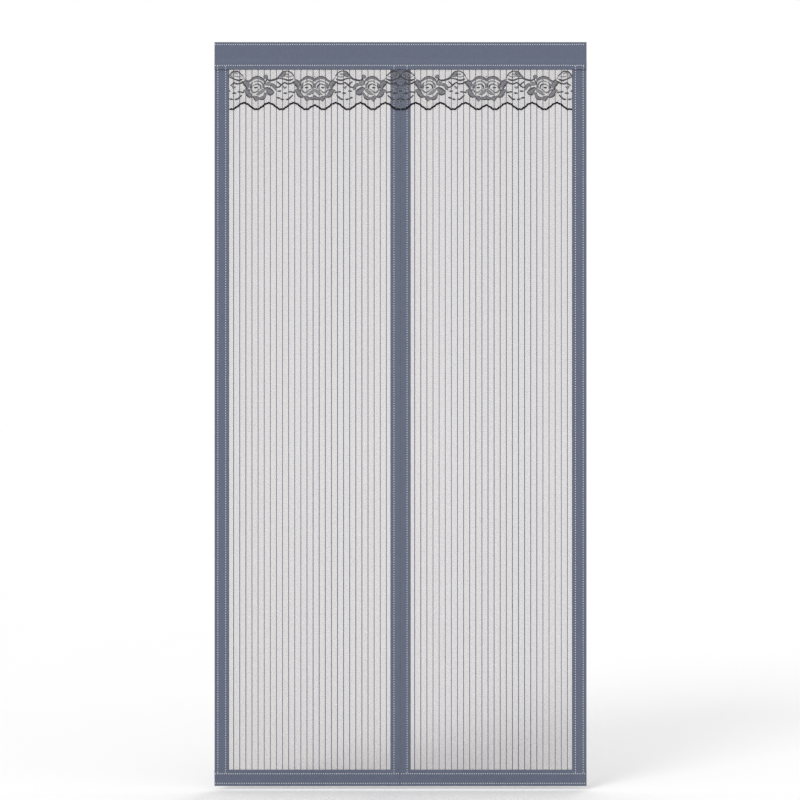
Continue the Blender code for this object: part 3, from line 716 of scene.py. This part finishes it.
PICOT_WIDTHS = (0.0028, 0.0034, 0.0028)
TULLE_PITCH, TULLE_YARN = 0.0012, 0.00012
TULLE_LEAN = math.radians(60)
TULLE_STEP, TULLE_STEPS = 0.001, 161
SHORTEST_THREAD = 0.002
SATIN_RIDGE, CORD_LAY = 0.0005, 0.0024
STREAK_STRETCH = (220, 1.5, 1)
STREAK_MEAN = 1.16
TULLE_DARK, TULLE_LIGHT = (0.34, 0.335, 0.335), (0.46, 0.455, 0.45)
TULLE_ALPHA = 0.32
CORD_DARK, CORD_LIGHT = (0.005, 0.004, 0.007), (0.018, 0.016, 0.023)


def satin(name, shade, light, painted_rim_shade):
    """Satin stitch: fine ridges across each line of stitches, and a rim painted darker where
    the padded stitch rounds away at its sides: painted shade, which also gives the lines
    their darker outline. Its UV map holds the place along the line in metres, and the
    share of the way round it."""
    material, tree, shader = new_finish(name, 0.6, gloss=0.2)
    way = add_node(tree, "ShaderNodeUVMap", uv_map="stitches").outputs["UV"]
    parts = add_node(tree, "ShaderNodeSeparateXYZ", [("Vector", way)])
    lead = math_node(tree, "MULTIPLY", parts.outputs["X"], 2 * math.pi / SATIN_RIDGE)
    ridge = math_node(tree, "SINE", lead)
    fibres = speckle(tree, place_of(tree), 900, 3.0)
    along = add_node(tree, "ShaderNodeMapping", [("Vector", way), ("Scale", STREAK_STRETCH)])
    streaks = speckle(tree, along.outputs["Vector"], 1.0)
    # Painted shade: the colour darkens towards the rounded sides of each padded line.
    turn = math_node(tree, "MULTIPLY", parts.outputs["Y"], 2 * math.pi)
    around = math_node(tree, "ABSOLUTE", math_node(tree, "COSINE", turn))
    inner = math_node(tree, "SUBTRACT", 1.0, math_node(tree, "POWER", around, 2.0))
    share = math_node(tree, "MULTIPLY", inner, painted_rim_shade)
    for part, weight in ((ridge, 0.10), (fibres, 0.45), (streaks, 2.2)):
        share = math_node(tree, "ADD", share, math_node(tree, "MULTIPLY", part, weight))
    share = math_node(tree, "SUBTRACT", share, STREAK_MEAN)
    tree.links.new(between(tree, share, shade, light), shader.inputs["Base Color"])
    emboss(tree, shader, share, 0.0002)
    return material


lace_finish = [
    satin("lace_dark_yarn", (0.026, 0.024, 0.032), (0.085, 0.082, 0.096), 0.5),
    satin("lace_mid_yarn", (0.036, 0.034, 0.042), (0.190, 0.187, 0.204), 0.8),
    # Painted highlight: the mid yarn made lighter where the satin catches the light.
    satin("lace_painted_highlight_yarn", (0.055, 0.053, 0.061), (0.240, 0.236, 0.252), 0.8),
]
# The tulle is knitted of clear nylon, so it hardly shows against the net or the bands.
tulle_yarn, tree, shader = new_finish("tulle_yarn", 0.5)
threads = speckle(tree, place_of(tree), 600)
tree.links.new(between(tree, threads, TULLE_DARK, TULLE_LIGHT), shader.inputs["Base Color"])
shader.inputs["Alpha"].default_value = TULLE_ALPHA

cord_yarn, tree, shader = new_finish("lace_cord_yarn", 0.6, gloss=0.12)
way = add_node(tree, "ShaderNodeUVMap", uv_map="stitches")
parts = add_node(tree, "ShaderNodeSeparateXYZ", [("Vector", way.outputs["UV"])])
lead = math_node(tree, "MULTIPLY", parts.outputs["X"], 2 * math.pi / CORD_LAY)
lead = math_node(tree, "ADD", lead, math_node(tree, "MULTIPLY", parts.outputs["Y"], 4 * math.pi))
strand = math_node(tree, "SINE", lead)
tree.links.new(between(tree, strand, CORD_DARK, CORD_LIGHT), shader.inputs["Base Color"])
emboss(tree, shader, strand, 0.0003)


def smooth_line(points, steps):
    """Points along a curve through the given ones."""
    ends = [points[0] * 2 - points[1], *points, points[-1] * 2 - points[-2]]
    line = []
    for p0, p1, p2, p3 in zip(ends, ends[1:], ends[2:], ends[3:]):
        for i in range(steps):
            t = i / steps
            bend = (p2 - p0) * t + (p0 * 2 - p1 * 5 + p2 * 4 - p3) * t**2
            bend += (p1 * 3 - p0 - p2 * 3 + p3) * t**3
            line.append(p1 + bend / 2)
    return [*line, points[-1]]


def stitched_shape(bm, pairs, thick, slot, depth=0.0):
    """A padded shape of stitches across the pairs of facing points, with round ends."""
    pairs = [((one + other) / 2, (one - other) / 2) for one, other in pairs]
    for end, sign in ((0, -1), (-1, 1)):
        middle, half = pairs[end]
        if half.length < 1e-5:
            continue
        ahead = (pairs[1][0] - pairs[0][0]) if end == 0 else (pairs[-1][0] - pairs[-2][0])
        caps = [
            (middle + ahead.normalized() * sign * half.length * math.sin(turn), half * math.cos(turn))
            for turn in (math.radians(35), math.radians(65), math.pi / 2)
        ]
        pairs = caps[::-1] + pairs if end == 0 else pairs + caps
    rows, lengths, travelled = [], [], 0.0
    for i, (middle, half) in enumerate(pairs):
        travelled += (middle - pairs[max(i - 1, 0)][0]).length
        lengths.append(travelled)
        rise = thick / 2 * min(1.0, (half.length / FULL_RISE_W) ** 0.5)
        row = []
        for k in range(ROUND_STEPS + 1):
            turn = 2 * math.pi * k / ROUND_STEPS
            spot = middle + half * math.cos(turn)
            row.append((spot.x, depth - rise * math.sin(turn), -spot.y))
        rows.append(row)
    lay_grid(bm, rows, lengths, slot)


def stitched_line(bm, line, widths, thick, slot, depth=0.0):
    """A line of stitches along points of (across, down), with its width at each."""
    pairs = []
    for i, point in enumerate(line):
        ahead = (line[min(i + 1, len(line) - 1)] - line[max(i - 1, 0)]).normalized()
        across = Vector((-ahead.y, ahead.x)) * widths[i] / 2
        pairs.append((point + across, point - across))
    stitched_shape(bm, pairs, thick, slot, depth)


def swelling(count, start, middle, end):
    """Widths along a line that has these at its start, middle and end."""
    widths = []
    for i in range(count):
        t = 2 * i / (count - 1)
        near, far, share = (start, middle, t) if t < 1 else (middle, end, t - 1)
        widths.append(near + (far - near) * smooth_step(share))
    return widths


def scallop_down(across):
    """How far down the edge lies: a shallow scallop at the middle, and three more each side."""
    across = abs(across)
    if across < MIDDLE_SCALLOP_HALF:
        turn = math.pi * across / MIDDLE_SCALLOP_HALF
        return EDGE_DOWN - MIDDLE_SCALLOP_DEPTH * (1 + math.cos(turn)) / 2
    turn = 2 * math.pi * (across - MIDDLE_SCALLOP_HALF) / SCALLOP_PITCH
    return EDGE_DOWN - SCALLOP_DEPTH * (1 - math.cos(turn)) / 2


def half_strip_flowers():
    """The stitched drawing: one half, cut at the strip's end and middle, and its mirror image."""
    bm = bmesh.new()
    bm.loops.layers.uv.new("stitches")
    for rose_x in ROSE_X:
        petals = [*BIG_ROSE_PETALS, *SMALL_ROSE_PETALS]
        lines = [*BIG_ROSE_LINES, *SMALL_ROSE_LINES, *VINES]
        if rose_x == ROSE_X[0]:
            petals = END_ROSE_PETALS
            lines = [*END_ROSE_LINES, VINES[0], *VINES[3:]]

        def spots(points):
            return [Vector((rose_x + x / 1000, ROSE_DOWN + y / 1000)) for x, y in points]

        def shows(line):
            reach = [spot.x for spot in line]
            return max(reach) > -LACE_HALF - SHAPE_REACH and min(reach) < SHAPE_REACH

        for tone, one, other in petals:
            if shows(spots(one)):
                slot = LACE_TONES.index(tone)
                sides = [smooth_line(spots(side), PETAL_STEPS) for side in (one, other)]
                stitched_shape(bm, list(zip(*sides)), STITCH_T + TONE_RISE * slot, slot)
        for tone, widths, *points in lines:
            line = smooth_line(spots(points), LINE_STEPS)
            if shows(line):
                slot = LACE_TONES.index(tone)
                swell = swelling(len(line), *(width / 1000 for width in widths))
                stitched_line(bm, line, swell, LINE_T + TONE_RISE * slot, slot)
    bmesh.ops.remove_doubles(bm, verts=bm.verts, dist=1e-6)
    bmesh.ops.recalc_face_normals(bm, faces=bm.faces)
    for place, normal in (((-LACE_HALF, 0, 0), (-1, 0, 0)), ((0, 0, 0), (1, 0, 0))):
        every = [*bm.verts, *bm.edges, *bm.faces]
        bmesh.ops.bisect_plane(bm, geom=every, plane_co=place, plane_no=normal, clear_outer=True)
        open_edges = [edge for edge in bm.edges if edge.is_boundary]
        if normal[0] < 0:
            bmesh.ops.holes_fill(bm, edges=open_edges, sides=0)
    bmesh.ops.mirror(bm, geom=[*bm.verts, *bm.edges, *bm.faces], axis="X", merge_dist=1e-6)
    bmesh.ops.recalc_face_normals(bm, faces=bm.faces)
    return bm


def add_tulle(bm):
    """Two crossing sets of straight threads, cut where they leave the scalloped shape."""
    slope = Vector((math.cos(TULLE_LEAN), math.sin(TULLE_LEAN)))
    spacing = TULLE_PITCH / math.sin(TULLE_LEAN)
    reach = int((LACE_HALF + EDGE_DOWN) / spacing)
    for way in (1, -1):
        for i in range(-reach, reach + 1):
            top = Vector((i * spacing, 0.0))
            inside, start = [], None
            for k in range(TULLE_STEPS):
                spot = top + Vector((slope.x * way, slope.y)) * (TULLE_STEP * k)
                within = abs(spot.x) < LACE_HALF and spot.y < scallop_down(spot.x)
                if within and start is None:
                    start = spot
                if not within and start is not None:
                    inside.append((start, spot))
                    start = None
            for first, last in inside:
                middle, length = (first + last) / 2, (last - first).length
                if length < SHORTEST_THREAD:
                    continue
                turn = Matrix.Rotation(way * TULLE_LEAN, 4, "Y")
                shape = Matrix.Translation((middle.x, 0, -middle.y)) @ turn
                shape = shape @ Matrix.Diagonal((length, TULLE_YARN, TULLE_YARN, 1))
                bmesh.ops.create_cube(bm, size=1.0, matrix=shape)


tulle = bmesh.new()
add_tulle(tulle)
heading = Matrix.Diagonal((2 * LACE_HALF, HEADING_T, HEADING_H, 1))
heading = Matrix.Translation((0, 0, HEADING_H / 2)) @ heading
bmesh.ops.create_cube(tulle, size=1.0, matrix=heading)
for face in tulle.faces:
    face.material_index = TULLE_SLOT
tulle_mesh = bpy.data.meshes.new("lace_tulle")
tulle.to_mesh(tulle_mesh)
tulle.free()
edge = bmesh.new()
edge.loops.layers.uv.new("stitches")
count = round(2 * LACE_HALF / CORD_STEP)
line, widths = [], []
for i in range(count + 1):
    across = (2 * i / count - 1) * (LACE_HALF - CORD_END)
    from_peak = (abs(across) - MIDDLE_SCALLOP_HALF) / SCALLOP_PITCH - 0.5
    wobble = CORD_WOBBLE * (2 * abs(math.sin(2 * math.pi * WOBBLES * from_peak)) - 1)
    line.append(Vector((across, scallop_down(across) + wobble)))
    knob = math.sin(2 * math.pi * across / KNOB_PITCH)
    widths.append(EDGE_CORD_W * (1 + KNOB_SWELL * knob))
edge_depth = EDGE_CORD_Y - LACE_Y
stitched_line(edge, line, widths, EDGE_CORD_T, CORD_SLOT, edge_depth)
for i in range(SIDE_SCALLOPS + 1):
    trough = MIDDLE_SCALLOP_HALF + i * SCALLOP_PITCH
    for across in (trough - PICOT_AWAY, trough + PICOT_AWAY):
        for sign in (-1, 1):
            if across < LACE_HALF - PICOT_END:
                spot = Vector((sign * across, scallop_down(across) + PICOT_DROP))
                half = Vector((PICOT_HALF, 0))
                picot = [spot - half, spot + Vector((0, PICOT_SAG)), spot + half]
                stitched_line(edge, picot, PICOT_WIDTHS, EDGE_CORD_T, 0, edge_depth)
bmesh.ops.remove_doubles(edge, verts=edge.verts, dist=1e-6)
bmesh.ops.recalc_face_normals(edge, faces=edge.faces)
edge_mesh = bpy.data.meshes.new("lace_edge")
edge.to_mesh(edge_mesh)
edge.free()
lace = half_strip_flowers()
lace.from_mesh(edge_mesh)
lace.from_mesh(tulle_mesh)
lace_mesh = bpy.data.meshes.new("lace_strip")
lace.to_mesh(lace_mesh)
lace.free()

for label, side in SIDES:
    place = Matrix.Translation((side * LACE_MIDDLE_X, LACE_Y, HEADER_LOW_Z))
    bm = bmesh.new()
    bm.from_mesh(lace_mesh)
    bm.transform(place)
    finishes = [*lace_finish, tulle_yarn, cord_yarn]
    strip = link_piece(f"{label}_lace_strip", bm, finishes, [f"{label}_lace"])

# The header is the widest band: the same cloth folded down over the tops of both leaves,
# flat above, and open a little below where it takes the lace and the ends of the bands.
HEADER_UPPER_SEAM, HEADER_LOWER_SEAM = 0.0067, 0.0109
HEADER_FLARE = (0.044, 0.057)
HEADER_FRONT_Y = -0.0068


def header_faces(across, along):
    open_share = smooth_step((across - HEADER_FLARE[0]) / (HEADER_FLARE[1] - HEADER_FLARE[0]))
    front = NET_Y - BAND_HALF + (HEADER_FRONT_Y - NET_Y + BAND_HALF) * open_share
    back = NET_Y + BAND_HALF + (LIP_BACK_Y - NET_Y - BAND_HALF) * open_share
    lift = puckered(across, along, (HEADER_UPPER_SEAM, HEADER_H - HEADER_LOWER_SEAM), 4.0)
    return front - lift * smooth_step(across / FOLD_REACH), back


header = folded_band(
    "header_band_cloth",
    "header_band",
    HEADER_H,
    header_faces,
    (-HALF_W, HALF_W),
    lambda across, depth, along: (along, depth, TOP_Z - across),
)

# All bands are sewn with thick pale thread in long straight stitches, which show as
# dashes on the front and back. A row with tape behind it has only the front ones. The
# upright rows run on over the header and hem margins.
LEVEL_PITCH, UPRIGHT_PITCH = 0.00592, 0.00656
STITCH_L, STITCH_W, STITCH_D = 0.0030, 0.0019, 0.0008
STITCH_LEAN = math.radians(3)
STITCH_SINKS = 0.15
SUNK = PLY / 2 + STITCH_D * STITCH_SINKS
THREAD_DARK, THREAD_LIGHT = (0.76, 0.78, 0.82), (0.94, 0.95, 0.97)
HEM_TOP_Z = BOTTOM_Z + HEM_H

seam_thread, tree, shader = new_finish("seam_thread", 0.5, sheen=0.1)
plies = speckle(tree, place_of(tree), 1500, 2.0)
tree.links.new(between(tree, plies, THREAD_DARK, THREAD_LIGHT), shader.inputs["Base Color"])
emboss(tree, shader, plies, 0.0001)


def stitch_row(bm, first, step, count, size, depth_at):
    """A row of stitches: flattened beads that lean a little and sink in the cloth. depth_at
    gives the cloth's depth at a point of the row."""
    lean = Matrix.Rotation(STITCH_LEAN, 4, "Y")
    shape = Matrix.Translation(first) @ lean @ Matrix.Diagonal((*size, 1))
    bead = bmesh.ops.create_uvsphere(bm, u_segments=6, v_segments=4, radius=0.5, matrix=shape)
    for vert in in_rows(bm, bead["verts"], step, count):
        vert.co.y += depth_at(vert.co.x, vert.co.z)


def level_row(bm, span, z, faces, across, sides=(0,)):
    """A level row, with stitches at an even pitch over the span."""
    count, size = int((span[1] - span[0]) / LEVEL_PITCH), (STITCH_L, STITCH_D, STITCH_W)
    for face in sides:

        def depth_at(x, z):
            return faces(across, abs(x))[face]

        first = (span[0] + LEVEL_PITCH / 2, (-1, 1)[face] * SUNK, z)
        stitch_row(bm, first, (LEVEL_PITCH, 0, 0), count, size, depth_at)


def upright_row(bm, x, faces, across, sides=(0,)):
    """An upright row, from the header's lower seam down to the hem's upper one."""
    top, bottom = HEADER_LOW_Z + HEADER_LOWER_SEAM, HEM_TOP_Z - HEM_UPPER_SEAM
    count, size = int((top - bottom) / UPRIGHT_PITCH), (STITCH_W, STITCH_D, STITCH_L)
    for face in sides:

        def depth_at(x, z):
            if z > HEADER_LOW_Z:
                return header_faces(TOP_Z - z, x)[face]
            if z < HEM_TOP_Z:
                return hem_faces(z - BOTTOM_Z, abs(x))[face]
            return faces(across, z)[face]

        first = (x, (-1, 1)[face] * SUNK, top - UPRIGHT_PITCH / 2)
        stitch_row(bm, first, (0, 0, -UPRIGHT_PITCH), count, size, depth_at)


bm = bmesh.new()
level_row(bm, (-HALF_W, HALF_W), TOP_Z - HEADER_UPPER_SEAM, header_faces, HEADER_UPPER_SEAM)
piece = link_piece("header_upper_stitches", bm, [seam_thread], ["header_upper_seam"])
bm = bmesh.new()
across = HEADER_H - HEADER_LOWER_SEAM
level_row(bm, (-HALF_W, HALF_W), TOP_Z - across, header_faces, across, (0, 1))
piece = link_piece("header_lower_stitches", bm, [seam_thread], ["header_lower_seam"])
for label, side in SIDES:
    for seam, across in (("outer", SIDE_SEAM), ("inner", SIDE_BAND_W - SIDE_SEAM)):
        bm = bmesh.new()
        upright_row(bm, side * (HALF_W - across), side_faces, across)
        name = f"{label}_side_{seam}"
        piece = link_piece(f"{name}_stitches", bm, [seam_thread], [f"{name}_seam"])
    bm = bmesh.new()
    across = CENTRE_BAND_W - CENTRE_SEAM
    upright_row(bm, side * (MEETING_X + across), centre_faces, across, (0, 1))
    piece = link_piece(f"{label}_centre_stitches", bm, [seam_thread], [f"{label}_centre_seam"])
    for seam, across in (("upper", HEM_H - HEM_UPPER_SEAM), ("lower", HEM_LOWER_SEAM)):
        bm = bmesh.new()
        span = (MEETING_X, HALF_W) if side > 0 else (-HALF_W, -MEETING_X)
        level_row(bm, span, BOTTOM_Z + across, hem_faces, across, (0, 1))
        name = f"{label}_hem_{seam}"
        piece = link_piece(f"{name}_stitches", bm, [seam_thread], [f"{name}_seam"])

# Loop tape is sewn to the back of the header and side bands, and grips the hook tape that
# is glued up behind it. The loops are a dense soft nap, and the hook tape is a stiff woven
# strip, seen from its glued back, with painted sheen on the glue in broad lighter patches.
NAP_DARK, NAP_LIGHT = (0.085, 0.100, 0.142), (0.190, 0.215, 0.285)
RIB_PITCH = 0.0016
HOOK_DARK, HOOK_LIGHT = (0.34, 0.36, 0.40), (0.48, 0.50, 0.54)

loop_nap, tree, shader = new_finish("loop_nap", 0.95, sheen=0.4)
nap = speckle(tree, place_of(tree), 1300, 4.0)
tree.links.new(between(tree, nap, NAP_DARK, NAP_LIGHT), shader.inputs["Base Color"])
emboss(tree, shader, nap, 0.0004)
refinish(["header_loop_tape", *(f"{label}_side_loop_tape" for label, side in SIDES)], loop_nap)

hook_backing, tree, shader = new_finish("hook_backing", 0.6)
where = add_node(tree, "ShaderNodeSeparateXYZ", [("Vector", place_of(tree))])
ribs = [
    math_node(tree, "SINE", math_node(tree, "MULTIPLY", where.outputs[axis], 2 * math.pi / RIB_PITCH))
    for axis in ("X", "Z")
]
grid = math_node(tree, "MULTIPLY", *ribs)
# Painted sheen: broad lighter patches in the colour of the glued back.
gloss = speckle(tree, place_of(tree), 60, 3.0)
tone = math_node(tree, "ADD", math_node(tree, "MULTIPLY", grid, 0.25), gloss)
tree.links.new(between(tree, tone, HOOK_DARK, HOOK_LIGHT), shader.inputs["Base Color"])
emboss(tree, shader, tone, 0.0002, 0.5)
refinish(["header_hook_tape", *(f"{label}_side_hook_tape" for label, side in SIDES)], hook_backing)
